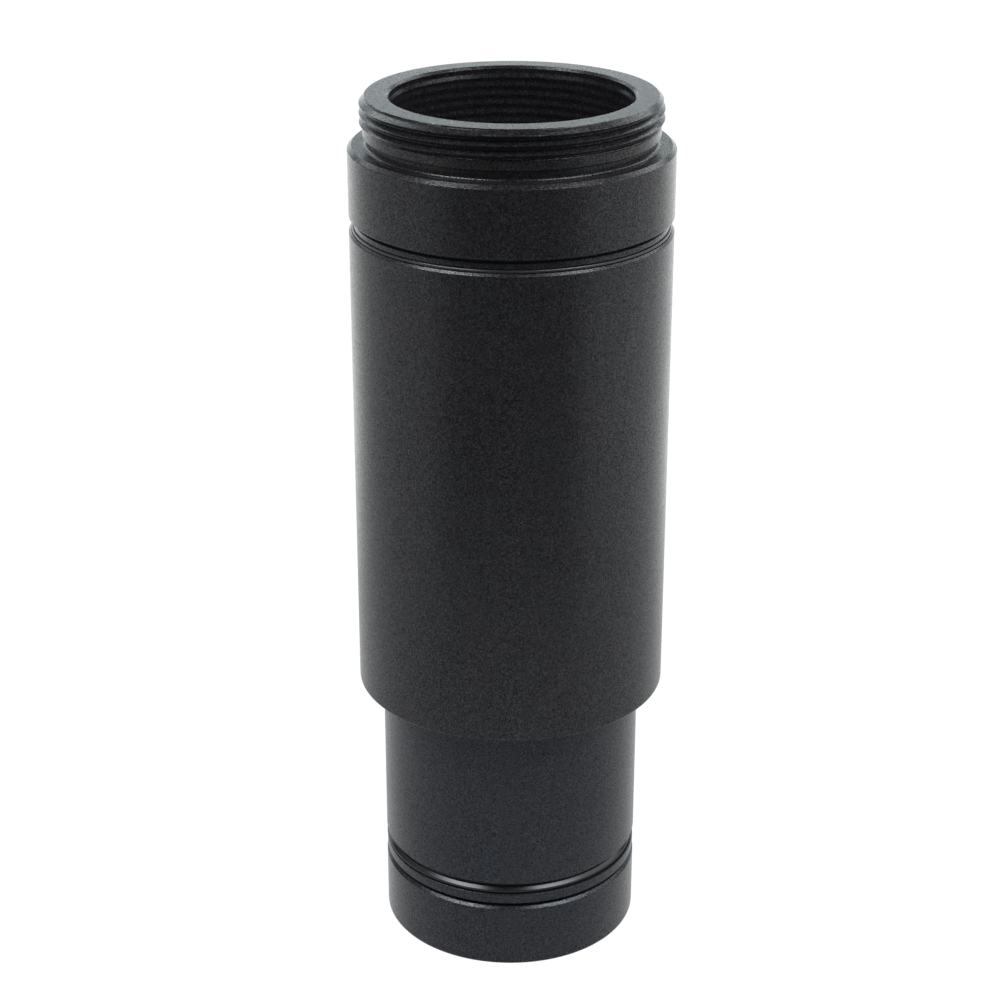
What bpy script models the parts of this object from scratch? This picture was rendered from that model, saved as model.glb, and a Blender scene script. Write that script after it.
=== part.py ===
"""Camera Barlow lens: a turned, black anodised tube set.

From the top down: a camera head with a 1 inch x 32 male thread and a seating
collar, a friction washer in the groove under the collar, the main barrel with
its stack of baffles and spacer tubes, the slimmer nose tube that goes into an
eyepiece holder, a loose friction ring, a lock ring, and the end cell that
carries a cemented negative doublet.

Frame: +Z is the optical axis, from the nose up to the camera. The origin is on
that axis, in the plane of the end cell's lower face. Lengths are in millimetres
and are turned into metres by MM. _R is a radius and _Z an absolute height.
"""

import math

import bmesh
import bpy

MM = 0.001
INCH = 25.4
SEGMENTS = 36  # flats around every turned piece
MERGE_DISTANCE = 1e-6  # metres; closes the seam of a turned piece
SHARP_ANGLE = math.radians(25)  # edges bent more than this shade crisp
EMPTY_SIZE = 4

RUN_GAP = 0.10  # radial clearance where one piece turns inside another
FIT_GAP = 0.06  # radial clearance between pieces that stay together
FACE_GAP = 0.04  # axial clearance between faces that touch on the real object

# ---- outside of the tube set ----
LENGTH = 77.75
BODY_R = 13.75  # collar and main barrel
NOSE_R = 11.60
THREAD_LEAD = 0.30  # chamfer at the upper end of the nose and cell threads

# ---- camera head: male thread ----
PITCH = INCH / 32
MAJOR_R = INCH / 2
MINOR_R = MAJOR_R - 0.61 * PITCH
CREST_Z = 77.10  # height of a crest on the -X side
CREST_FLAT, FLANK_SPAN = 0.12, 0.72  # fractions of the half pitch, from the crest out
RUN_OUT = 0.30  # height over which the thread fades into the land
THREAD_END_Z = 75.20
BLANK_STEP = PITCH / 6  # spacing of the blank's rows of points
CHAMFER_ROWS = 4
FACE_R = 12.20
SKIN = 0.01  # margin that keeps the bore and the top face out of the thread cut

# ---- camera head: land, neck and collar ----
LAND_R, LAND_END_Z, LAND_BEVEL = 12.45, 74.45, 0.10
NECK_R, NECK_FILLET, FILLET_STEPS = 12.15, 0.25, 3
SHOULDER_Z = 73.60
DISH_R, DISH_DEPTH = 12.78, 0.05  # the shoulder is relieved a little inside DISH_R
COLLAR_Z, COLLAR_CHAMFER = 67.50, 0.33

# ---- camera head: groove, spigot and bore ----
GROOVE_R = 13.35
HEAD_STEP_Z = 66.70
SPIGOT_R, SPIGOT_Z, SPIGOT_CHAMFER = 12.05, 61.20, 0.35
RELIEF_R, RELIEF_DEPTH, RELIEF_TAPER = 11.85, 0.60, 0.20
MOUTH_R = 10.20

STOP_TOP_Z, STOP_Z, STOP_HOLE_R = 63.40, 62.00, 8.50
STOP_SLOT_ANGLE = 30.0
WASHER_R, WASHER_CORNER = 13.50, 0.09

# ---- main barrel ----
BARREL_TOP_Z, BARREL_Z = 66.40, 24.40
BARREL_CHAMFER, BARREL_BORE_CHAMFER = 0.25, 0.30
BARREL_BORE_R = SPIGOT_R + RUN_GAP + 0.05
NOSE_SEAT_R, NOSE_SEAT_Z = NOSE_R + 0.08, 25.25
NOSE_THREAD_R, NOSE_TOP_Z = 11.30, 30.40
BARREL_LEDGE_Z = NOSE_TOP_Z + 0.10  # the stack stands on this ledge

# ---- stack inside the barrel ----
STACK_R = BARREL_BORE_R - FIT_GAP
BAFFLE_T, BAFFLE_BEVEL = 1.40, 1.10
BAFFLE_HALF_EDGE = 0.10  # half the height of the hole's thin edge
SPACER_WALL = 0.65
# Bottom up: level, baffle hole radius, length of the spacer above the baffle
STACK = (
    ("lower", 9.00, 13.80),
    ("upper", 9.20, 12.70),
)

# ---- nose tube ----
NOSE_Z = 8.25
NOSE_BORE_R = 10.00
CELL_THREAD_R, CELL_TOP_Z = 10.65, 12.60
SOCKET_R, SOCKET_TOP_Z = CELL_THREAD_R + RUN_GAP, 13.40

# ---- rings at the nose's mouth ----
RING_R, RING_BORE_R = 11.48, SOCKET_R + 0.12
RING_X = -0.10  # the friction ring sits a little off the axis
RING_TOP_Z, RING_Z, RING_CORNER = 8.17, 7.42, 0.34
LOCK_R, LOCK_TOP_Z, LOCK_Z, LOCK_CHAMFER = 11.55, 7.36, 6.45, 0.08

# ---- end cell ----
CELL_SHOULDER_Z, CELL_CHAMFER, CELL_FOOT_CHAMFER = 6.05, 0.22, 0.10
LENS_BORE_R, LENS_BORE_CHAMFER = 9.85, 0.25
LENS_SEAT_Z, CELL_STOP_R = 7.30, 8.90
SEAT_RING_BORE_R, SEAT_RING_CORNER = CELL_STOP_R + 0.02, 0.12
KEEPER_TOP_Z, KEEPER_Z, KEEPER_HOLE_R = 1.72, 0.55, 8.70
KEEPER_SLOT_ANGLE = 20.0

# ---- glass: the crown is below the flint ----
GLASS_R = 9.70
CROWN_EDGE_Z = 1.90  # rim of the crown's lower face
CROWN_CENTRE_T, CEMENT_T, FLINT_CENTRE_T = 1.30, 0.05, 2.45
LOWER_CURVE, CEMENT_CURVE, UPPER_CURVE = 62.0, 41.0, 118.0  # radii of curvature
CAP_STEPS = 6

# ---- screwed rings ----
RING_HOLE_BEVEL = 0.45
SLOT_W, SLOT_D = 1.20, 0.55
SLOT_BAR_REACH = 2.6  # length of the slot cutter, in ring radii

# Piece: material name, colour, roughness, metallic, then for glass transmission and IOR
FINISHES = {
    "main_barrel": ("barrel_black_anodised", (0.030, 0.031, 0.034), 0.42, 0.85),
    "camera_head": ("head_black_anodised", (0.028, 0.029, 0.031), 0.40, 0.85),
    "nose_tube": ("nose_black_anodised", (0.040, 0.042, 0.047), 0.42, 0.85),
    "end_cell": ("cell_black_anodised", (0.042, 0.044, 0.049), 0.44, 0.85),
    "cell_lock_ring": ("lock_ring_black_anodised", (0.035, 0.036, 0.040), 0.38, 0.85),
    "cell_friction_ring": ("friction_ring_gloss_black", (0.020, 0.020, 0.022), 0.22, 0.0),
    "head_friction_washer": ("washer_dark_nylon", (0.060, 0.060, 0.062), 0.35, 0.0),
    "lower_baffle": ("lower_baffle_matt_black", (0.012, 0.012, 0.013), 0.75, 0.0),
    "upper_baffle": ("upper_baffle_matt_black", (0.012, 0.012, 0.013), 0.75, 0.0),
    "lower_spacer_tube": ("lower_spacer_matt_black", (0.014, 0.014, 0.015), 0.70, 0.0),
    "upper_spacer_tube": ("upper_spacer_matt_black", (0.014, 0.014, 0.015), 0.70, 0.0),
    "head_stop_ring": ("stop_ring_matt_black", (0.015, 0.015, 0.016), 0.60, 0.5),
    "lens_retaining_ring": ("lens_keeper_black", (0.025, 0.025, 0.027), 0.45, 0.7),
    "lens_seat_ring": ("lens_seat_black", (0.018, 0.018, 0.018), 0.80, 0.0),
    "crown_lens": ("crown_glass", (0.92, 0.95, 0.96), 0.02, 0.0, 1.0, 1.517),
    "flint_lens": ("flint_glass", (0.93, 0.94, 0.93), 0.02, 0.0, 1.0, 1.648),
}


# ---- scene and materials ----
def clear_scene():
    for obj in list(bpy.data.objects):
        bpy.data.objects.remove(obj, do_unlink=True)
    for collection in list(bpy.data.collections):
        bpy.data.collections.remove(collection)


def new_collection(name):
    collection = bpy.data.collections.new(name)
    bpy.context.scene.collection.children.link(collection)
    return collection


def material(name, colour, roughness, metallic, transmission=0.0, ior=1.5):
    mat = bpy.data.materials.new(name)
    mat.use_nodes = True
    inputs = mat.node_tree.nodes["Principled BSDF"].inputs
    inputs["Base Color"].default_value = (*colour, 1.0)
    inputs["Roughness"].default_value = roughness
    inputs["Metallic"].default_value = metallic
    inputs["Transmission Weight"].default_value = transmission
    inputs["IOR"].default_value = ior
    mat.diffuse_color = (*colour, 1.0)
    return mat


# ---- placing and turning ----
def height_of(obj):
    """World height of an upright object in metres, from its chain of parents."""
    z = 0.0
    while obj is not None:
        z += obj.location.z
        obj = obj.parent
    return z


def axis_empty(name, z, parent=None):
    """An empty on the optical axis at height z, for the pieces that turn together."""
    empty = bpy.data.objects.new(name, None)
    empty.empty_display_size = EMPTY_SIZE * MM
    PARTS.objects.link(empty)
    empty.parent = parent
    empty.location = (0, 0, z * MM - height_of(parent))
    return empty


def clockwise(loop):
    """The profile in the order that runs down its outer side."""
    area = sum(a[0] * b[1] - b[0] * a[1] for a, b in zip(loop, loop[1:] + loop[:1]))
    return loop if area < 0 else loop[::-1]


def turned(name, profile, datum, parent, on_axis=False, x=0.0):
    """Spin a profile of (radius, height) points around the axis, and finish the piece.

    Heights are absolute; the object's origin is at the height datum. A profile
    that starts and ends on the axis is an open line, any other is a loop.
    """
    points = profile if on_axis else clockwise(profile)
    edges = [(i, i + 1) for i in range(len(points) - 1)]
    if not on_axis:
        edges.append((len(points) - 1, 0))
    mesh = bpy.data.meshes.new(name)
    mesh.from_pydata([(r * MM, 0.0, (z - datum) * MM) for r, z in points], edges, [])
    obj = bpy.data.objects.new(name, mesh)
    PARTS.objects.link(obj)
    screw = obj.modifiers.new("turn", "SCREW")
    screw.axis = "Z"
    screw.angle = 2 * math.pi
    screw.steps = screw.render_steps = SEGMENTS
    screw.use_merge_vertices = True
    screw.merge_threshold = MERGE_DISTANCE
    screw.use_smooth_shade = True
    obj.parent = parent
    obj.location = (x * MM, 0.0, datum * MM - height_of(parent))
    settle(obj)
    obj.data.materials.append(material(*FINISHES[name]))
    return obj


def settle(obj):
    """Turn an object's modifiers into mesh, then shade it smooth with crisp edges."""
    bpy.context.view_layer.update()
    graph = bpy.context.evaluated_depsgraph_get()
    mesh = bpy.data.meshes.new_from_object(obj.evaluated_get(graph))
    mesh.name = obj.name
    obj.modifiers.clear()
    old, obj.data = obj.data, mesh
    bpy.data.meshes.remove(old)
    mesh.shade_smooth()
    mesh.set_sharp_from_angle(angle=SHARP_ANGLE)


# ---- shared shapes ----
def rounded(r_in, r_out, z_low, z_high, radius, count=4):
    """A rectangular section whose two outer corners are rounded."""
    points = [(r_in, z_low), (r_in, z_high)]
    for centre_z, start in ((z_high - radius, math.pi / 2), (z_low + radius, 0.0)):
        for i in range(count + 1):
            angle = start - math.pi / 2 * i / count
            points.append(
                (r_out - radius + radius * math.cos(angle), centre_z + radius * math.sin(angle))
            )
    return points


def screwed_ring_profile(r_out, r_in, z_low, z_high, bevel_up):
    """A screwed ring; its hole opens out towards the outside of the tube."""
    wide = r_in + RING_HOLE_BEVEL
    return [
        (r_out, z_low),
        (r_out, z_high),
        (wide if bevel_up else r_in, z_high),
        (r_in if bevel_up else wide, z_low),
    ]


def spanner_slots(obj, radius, z, angle):
    """Two opposite slots across a ring's face, cut by one long bar."""
    mesh = bpy.data.meshes.new(obj.name + "_slot_bar")
    bar = bmesh.new()
    bmesh.ops.create_cube(bar, size=1.0)
    size = (SLOT_BAR_REACH * radius * MM, SLOT_W * MM, 2 * SLOT_D * MM)
    bmesh.ops.scale(bar, vec=size, verts=bar.verts)
    bar.to_mesh(mesh)
    bar.free()
    cutter = bpy.data.objects.new(obj.name + "_slot_bar", mesh)
    CUTTERS.objects.link(cutter)
    cutter.parent = obj.parent
    cutter.location = (0.0, 0.0, z * MM - height_of(obj.parent))
    cutter.rotation_euler = (0.0, 0.0, math.radians(angle))
    cutter.hide_render = True
    cutter.display_type = "WIRE"
    cut = obj.modifiers.new("spanner slots", "BOOLEAN")
    cut.operation = "DIFFERENCE"
    cut.solver = "EXACT"
    cut.object = cutter


# ---- main barrel, nose tube and stack ----
def main_barrel_profile():
    return [
        (BODY_R - BARREL_CHAMFER, BARREL_TOP_Z),
        (BODY_R, BARREL_TOP_Z - BARREL_CHAMFER),
        (BODY_R, BARREL_Z),
        (NOSE_SEAT_R, BARREL_Z),
        (NOSE_SEAT_R, NOSE_SEAT_Z),
        (NOSE_THREAD_R + FIT_GAP, NOSE_SEAT_Z),
        (NOSE_THREAD_R + FIT_GAP, BARREL_LEDGE_Z),
        (BARREL_BORE_R, BARREL_LEDGE_Z),
        (BARREL_BORE_R, BARREL_TOP_Z - BARREL_BORE_CHAMFER),
        (BARREL_BORE_R + BARREL_BORE_CHAMFER, BARREL_TOP_Z),
    ]


def nose_tube_profile():
    return [
        (NOSE_THREAD_R - THREAD_LEAD, NOSE_TOP_Z),
        (NOSE_THREAD_R, NOSE_TOP_Z - THREAD_LEAD),
        (NOSE_THREAD_R, NOSE_SEAT_Z - FACE_GAP),
        (NOSE_R, NOSE_SEAT_Z - FACE_GAP),
        (NOSE_R, NOSE_Z),
        (SOCKET_R, NOSE_Z),
        (SOCKET_R, SOCKET_TOP_Z),
        (NOSE_BORE_R, SOCKET_TOP_Z),
        (NOSE_BORE_R, NOSE_TOP_Z),
    ]


def baffle_profile(z, hole_r):
    """A stop ring whose hole is bevelled from both faces to a thin edge."""
    middle = z + BAFFLE_T / 2
    return [
        (STACK_R, z),
        (STACK_R, z + BAFFLE_T),
        (hole_r + BAFFLE_BEVEL, z + BAFFLE_T),
        (hole_r, middle + BAFFLE_HALF_EDGE),
        (hole_r, middle - BAFFLE_HALF_EDGE),
        (hole_r + BAFFLE_BEVEL, z),
    ]


def spacer_profile(z, length):
    return [
        (STACK_R, z),
        (STACK_R, z + length),
        (STACK_R - SPACER_WALL, z + length),
        (STACK_R - SPACER_WALL, z),
    ]


def build_tube(axis):
    turned("main_barrel", main_barrel_profile(), BARREL_Z, axis)
    turned("nose_tube", nose_tube_profile(), NOSE_Z, axis)
    z = BARREL_LEDGE_Z + FACE_GAP
    for level, hole_r, spacer_length in STACK:
        turned(f"{level}_baffle", baffle_profile(z, hole_r), z, axis)
        z += BAFFLE_T + FACE_GAP
        turned(f"{level}_spacer_tube", spacer_profile(z, spacer_length), z, axis)
        z += spacer_length + FACE_GAP


# ---- camera head ----
def thread_blank():
    """The top chamfer and the plain cylinder that the thread is cut from."""
    chamfer = MAJOR_R - FACE_R
    points = [
        (FACE_R + chamfer * i / CHAMFER_ROWS, LENGTH - chamfer * i / CHAMFER_ROWS)
        for i in range(CHAMFER_ROWS)
    ]
    z = LENGTH - chamfer
    while z > THREAD_END_Z + 0.4 * BLANK_STEP:  # no sliver of a row at the end
        points.append((MAJOR_R, z))
        z -= BLANK_STEP
    return points


def neck_fillet(base_z):
    points = []
    for i in range(FILLET_STEPS + 1):
        angle = math.pi / 2 * i / FILLET_STEPS
        r = NECK_R + NECK_FILLET * (1 - math.cos(angle))
        points.append((r, base_z + NECK_FILLET * (1 - math.sin(angle))))
    return points


def camera_head_profile():
    dish_z = SHOULDER_Z - DISH_DEPTH
    relief_z = HEAD_STEP_Z - RELIEF_DEPTH
    return [
        *thread_blank(),
        (LAND_R, THREAD_END_Z),
        (LAND_R, LAND_END_Z),
        (NECK_R, LAND_END_Z - LAND_BEVEL),
        *neck_fillet(dish_z),
        (DISH_R - DISH_DEPTH, dish_z),
        (DISH_R, SHOULDER_Z),
        (BODY_R - COLLAR_CHAMFER, SHOULDER_Z),
        (BODY_R, SHOULDER_Z - COLLAR_CHAMFER),
        (BODY_R, COLLAR_Z),
        (GROOVE_R, COLLAR_Z),
        (GROOVE_R, HEAD_STEP_Z),
        (RELIEF_R, HEAD_STEP_Z),
        (RELIEF_R, relief_z),
        (SPIGOT_R, relief_z - RELIEF_TAPER),
        (SPIGOT_R, SPIGOT_Z + SPIGOT_CHAMFER),
        (SPIGOT_R - SPIGOT_CHAMFER, SPIGOT_Z),
        (MOUTH_R, SPIGOT_Z),
        (MOUTH_R, LENGTH),
    ]


def clamp(value):
    return min(max(value, 0.0), 1.0)


def cut_male_thread(obj, datum):
    """Move the blank's outer points in to the flanks of a right-handed 60 degree thread."""
    mesh = bmesh.new()
    mesh.from_mesh(obj.data)
    for vert in mesh.verts:
        z = vert.co.z / MM + datum
        r = math.hypot(vert.co.x, vert.co.y) / MM
        if r < FACE_R - SKIN or not THREAD_END_Z < z < LENGTH - SKIN:
            continue
        turn = (math.atan2(vert.co.y, vert.co.x) - math.pi) / (2 * math.pi)
        phase = ((z - CREST_Z) / PITCH - turn) % 1.0
        off_crest = min(phase, 1.0 - phase) * 2.0  # 0 on a crest, 1 in a root
        flank = clamp((off_crest - CREST_FLAT) / FLANK_SPAN)
        cut_r = MAJOR_R - (MAJOR_R - MINOR_R) * flank
        cut_r = LAND_R + (cut_r - LAND_R) * clamp((z - THREAD_END_Z) / RUN_OUT)
        scale = min(r, cut_r) / r
        vert.co.x *= scale
        vert.co.y *= scale
    mesh.to_mesh(obj.data)
    mesh.free()


def build_head(axis):
    head = turned("camera_head", camera_head_profile(), HEAD_STEP_Z, axis)
    cut_male_thread(head, HEAD_STEP_Z)
    stop = screwed_ring_profile(
        MOUTH_R - FIT_GAP, STOP_HOLE_R, STOP_Z, STOP_TOP_Z, bevel_up=True
    )
    stop_ring = turned("head_stop_ring", stop, STOP_Z, axis)
    spanner_slots(stop_ring, MOUTH_R, STOP_TOP_Z, STOP_SLOT_ANGLE)


def build_washer(axis):
    low, high = BARREL_TOP_Z + FACE_GAP, HEAD_STEP_Z - FACE_GAP
    washer = rounded(BARREL_BORE_R, WASHER_R, low, high, WASHER_CORNER, count=2)
    turned("head_friction_washer", washer, BARREL_TOP_Z, axis)


# ---- rings at the nose's mouth ----
def build_friction_ring(axis):
    ring = rounded(RING_BORE_R, RING_R, RING_Z, RING_TOP_Z, RING_CORNER)
    turned("cell_friction_ring", ring, RING_Z, axis, x=RING_X)


def build_lock_ring(axis):
    ring = [
        (SOCKET_R, LOCK_Z),
        (SOCKET_R, LOCK_TOP_Z),
        (LOCK_R, LOCK_TOP_Z),
        (LOCK_R, LOCK_Z + LOCK_CHAMFER),
        (LOCK_R - LOCK_CHAMFER, LOCK_Z),
    ]
    turned("cell_lock_ring", ring, LOCK_Z, axis)


# ---- end cell and its glass ----
def end_cell_profile():
    return [
        (CELL_STOP_R, CELL_TOP_Z),
        (CELL_THREAD_R - THREAD_LEAD, CELL_TOP_Z),
        (CELL_THREAD_R, CELL_TOP_Z - THREAD_LEAD),
        (CELL_THREAD_R, CELL_SHOULDER_Z),
        (NOSE_R - CELL_CHAMFER, CELL_SHOULDER_Z),
        (NOSE_R, CELL_SHOULDER_Z - CELL_CHAMFER),
        (NOSE_R, CELL_FOOT_CHAMFER),
        (NOSE_R - CELL_FOOT_CHAMFER, 0.0),
        (LENS_BORE_R + LENS_BORE_CHAMFER, 0.0),
        (LENS_BORE_R, LENS_BORE_CHAMFER),
        (LENS_BORE_R, LENS_SEAT_Z),
        (CELL_STOP_R, LENS_SEAT_Z),
    ]


def sag(curve, r):
    """Depth of a spherical face between its centre and radius r."""
    return curve - math.sqrt(curve * curve - r * r)


def cap(curve, centre_z, side):
    """Points from the axis to the rim of a spherical face; side +1 bulges up, -1 down."""
    radii = [GLASS_R * i / CAP_STEPS for i in range(CAP_STEPS + 1)]
    return [(r, centre_z - side * sag(curve, r)) for r in radii]


def build_doublet(axis):
    """The cemented pair; returns the height of the flint's upper rim."""
    lower_z = CROWN_EDGE_Z + sag(LOWER_CURVE, GLASS_R)
    crown_top_z = lower_z + CROWN_CENTRE_T
    flint_z = crown_top_z + CEMENT_T
    flint_top_z = flint_z + FLINT_CENTRE_T
    crown = cap(CEMENT_CURVE, crown_top_z, -1) + cap(LOWER_CURVE, lower_z, +1)[::-1]
    flint = cap(UPPER_CURVE, flint_top_z, -1) + cap(CEMENT_CURVE, flint_z, -1)[::-1]
    turned("crown_lens", crown, CROWN_EDGE_Z, axis, on_axis=True)
    turned("flint_lens", flint, CROWN_EDGE_Z, axis, on_axis=True)
    return flint_top_z + sag(UPPER_CURVE, GLASS_R)


def build_cell(axis):
    turned("end_cell", end_cell_profile(), 0.0, axis)
    low, high = build_doublet(axis) + FACE_GAP, LENS_SEAT_Z - FACE_GAP
    seat = rounded(SEAT_RING_BORE_R, GLASS_R, low, high, SEAT_RING_CORNER, count=2)
    turned("lens_seat_ring", seat, LENS_SEAT_Z, axis)
    keeper = screwed_ring_profile(
        LENS_BORE_R - FIT_GAP, KEEPER_HOLE_R, KEEPER_Z, KEEPER_TOP_Z, bevel_up=False
    )
    keeper_ring = turned("lens_retaining_ring", keeper, KEEPER_Z, axis)
    spanner_slots(keeper_ring, LENS_BORE_R, KEEPER_Z, KEEPER_SLOT_ANGLE)


clear_scene()
PARTS = new_collection("barlow_lens")
CUTTERS = new_collection("barlow_lens_cutters")

# The pieces that turn together hang from an empty on the axis.
tube_axis = axis_empty("tube_axis", 0.0)
head_axis = axis_empty("head_axis", HEAD_STEP_Z, tube_axis)
cell_axis = axis_empty("cell_axis", CELL_SHOULDER_Z, tube_axis)
lock_axis = axis_empty("lock_axis", LOCK_Z, cell_axis)

build_tube(tube_axis)
build_head(head_axis)
build_washer(tube_axis)
build_friction_ring(tube_axis)
build_lock_ring(lock_axis)
build_cell(cell_axis)
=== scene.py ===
"""Camera Barlow lens: the looks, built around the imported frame.

The lens stands upright on the Z axis: the end cell and its glass at the bottom, then the nose
tube, the main barrel and the camera head, whose male thread is at the top. The camera looks
from -Y, so +Y is behind. Every CAD node is replaced by a finely turned mesh of the same piece,
riding on the node's own body. Lengths are in millimetres until a mesh is written, in metres.
"""

import math
from collections import namedtuple

import bpy
import numpy as np
from mathutils import Matrix, Vector


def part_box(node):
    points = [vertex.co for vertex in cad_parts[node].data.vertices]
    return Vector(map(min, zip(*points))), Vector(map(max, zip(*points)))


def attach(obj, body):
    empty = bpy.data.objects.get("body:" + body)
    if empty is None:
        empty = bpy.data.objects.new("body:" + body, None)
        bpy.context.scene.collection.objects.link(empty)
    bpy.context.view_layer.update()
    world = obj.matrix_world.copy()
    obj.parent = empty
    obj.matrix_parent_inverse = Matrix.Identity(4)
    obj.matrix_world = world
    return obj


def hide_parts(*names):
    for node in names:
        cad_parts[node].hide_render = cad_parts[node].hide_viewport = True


MM = 0.001
SEG = 192  # columns round every turned piece
ANGLES = [2 * math.pi * i / SEG for i in range(SEG)]
SHARP_ANGLE = math.radians(34.0)

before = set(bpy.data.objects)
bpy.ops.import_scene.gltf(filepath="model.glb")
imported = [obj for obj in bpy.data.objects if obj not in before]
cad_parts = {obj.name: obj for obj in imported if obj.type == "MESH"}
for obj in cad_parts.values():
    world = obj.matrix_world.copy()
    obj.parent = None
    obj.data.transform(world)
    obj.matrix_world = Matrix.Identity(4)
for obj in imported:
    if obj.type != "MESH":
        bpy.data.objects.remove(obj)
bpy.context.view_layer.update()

Span = namedtuple("Span", "low high radius axis_x")


def span(node):
    """Lowest z, highest z, largest radius and x of the axis of a CAD node, in millimetres."""
    lo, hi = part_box(node)
    return Span(lo.z / MM, hi.z / MM, (hi.x - lo.x) / 2 / MM, (lo.x + hi.x) / 2 / MM)


HEAD = span("camera_head")
BARREL = span("main_barrel")
NOSE = span("nose_tube")
CELL = span("end_cell")
FRICTION = span("cell_friction_ring")
LOCK = span("cell_lock_ring")
WASHER = span("head_friction_washer")
CROWN = span("crown_lens")
FLINT = span("flint_lens")
SEAT = span("lens_seat_ring")
KEEPER = span("lens_retaining_ring")
STOP = span("head_stop_ring")

# ------------------------------------------------------------------ threads


def both_flanks(half):
    """The phases of a whole pitch from those between its crest (0) and its root (0.5)."""
    return sorted([0.0, 0.5] + half + [1 - phase for phase in half])


# phases at which a thread has an edge, so that crests and roots stay crisp
FINE_MARKS = both_flanks([0.04, 0.07, 0.165, 0.25, 0.335, 0.415, 0.44, 0.465])
COARSE_MARKS = both_flanks([0.05, 0.09, 0.25, 0.41, 0.45])
MARK_CLEARANCE = 0.012  # least height between a mark and either end of the thread

# a 60 degree flank: offset from crest (0) to root (1), and the depth there
FLANK_OFFSETS = [0.0, 0.08, 0.83, 0.88, 0.93, 1.0]
FLANK_DEPTHS = [0.0, 0.0, 0.94, 0.985, 1.0, 1.0]


class Thread:
    """A stretch of a turned profile whose radius follows a right-handed helix.

    crest_z is the height of a crest on the -X side. crest and root are radii, the crest
    larger on a male thread and smaller on a female one. Each trim maps (radius, z) to a radius.
    """

    def __init__(self, pitch, crest_z, crest, root, start, end, marks=COARSE_MARKS, trims=()):
        self.pitch, self.crest_z = pitch, crest_z
        self.crest, self.root = crest, root
        self.start, self.end = start, end
        self.marks, self.trims = marks, trims

    def column(self, angle):
        """Heights of the inner vertices of the column at an angle, from start to end."""
        low, high = sorted((self.start, self.end))
        base = self.crest_z + self.pitch * (angle - math.pi) / (2 * math.pi)
        first = math.floor((low - base) / self.pitch) - 1
        last = math.ceil((high - base) / self.pitch) + 1
        marks = (base + self.pitch * (k + m) for k in range(first, last + 1) for m in self.marks)
        inner = [z for z in marks if low + MARK_CLEARANCE < z < high - MARK_CLEARANCE]
        return sorted(inner, reverse=self.end < self.start)

    def radius(self, angle, z):
        phase = ((z - self.crest_z) / self.pitch - (angle - math.pi) / (2 * math.pi)) % 1.0
        offset = min(phase, 1.0 - phase) * 2.0
        depth = float(np.interp(offset, FLANK_OFFSETS, FLANK_DEPTHS))
        radius = self.crest + (self.root - self.crest) * depth
        for trim in self.trims:
            radius = trim(radius, z)
        return radius


def lead_in(face_radius, face_z):
    """A bevel that opens downwards from an upper end face."""
    return lambda radius, z: min(radius, face_radius + 1.11 * (face_z - z))


def fade_out(land_radius, end_z, length=0.36):
    """A smooth run-out of a male thread into a plain land at its lower end."""

    def trim(radius, z):
        weight = min(1.0, max(0.0, (z - end_z) / length))
        return land_radius + (radius - land_radius) * weight * weight * (3.0 - 2.0 * weight)

    return trim


def countersink(face_radius, face_z):
    """A 45 degree cone opening a bore at its end face."""
    return lambda radius, z: max(radius, face_radius - abs(face_z - z))


def bore_end(bore_radius, end_z):
    """Closes a female thread's crests and roots onto a plain bore."""

    def trim(radius, z):
        near = abs(z - end_z)
        return min(max(radius, bore_radius - 0.9 * near), bore_radius + 1.3 * near)

    return trim


# ------------------------------------------------------------------ turned meshes
# Outlines are lists of (radius, height, corner rounding), the rounding left out where it is
# sharp. They run down the outside and up the inside. A Thread may stand between two points.


def corner(before, at, after, rounding, steps):
    """The corner at `at` as an arc, with a support point on either side where there is room."""
    start, tip, end = (Vector(point[:2]) for point in (before, at, after))
    to_start, to_end = start - tip, end - tip
    start_length, end_length = to_start.length, to_end.length
    if rounding <= 0 or start_length < 1e-6 or end_length < 1e-6:
        return [(tip.x, tip.y)]
    to_start, to_end = to_start / start_length, to_end / end_length
    half = math.acos(max(-1.0, min(1.0, to_start.dot(to_end)))) / 2
    if half > math.pi / 2 - 0.02:  # nearly straight
        return [(tip.x, tip.y)]
    reach = min(rounding / math.tan(half), 0.42 * start_length, 0.42 * end_length)
    rounding = reach * math.tan(half)
    centre = tip + (to_start + to_end).normalized() * (rounding / math.sin(half))
    first, last = tip + to_start * reach - centre, tip + to_end * reach - centre
    turn = first.angle_signed(last)

    def support(direction, length):
        room = length * 0.5 - reach
        if room <= 0.02:
            return []
        point = tip + direction * (reach + min(0.05, room))
        return [(point.x, point.y)]

    arc = []
    for i in range(steps + 1):
        angle = -turn * i / steps
        cos, sin = math.cos(angle), math.sin(angle)
        spoke = Vector((first.x * cos - first.y * sin, first.x * sin + first.y * cos))
        arc.append((centre.x + spoke.x, centre.y + spoke.y))
    return support(to_start, start_length) + arc + support(to_end, end_length)


def has_thread(*items):
    return any(isinstance(item, Thread) for item in items)


def distance(here, there):
    return math.hypot(there[0] - here[0], there[1] - here[1])


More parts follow.
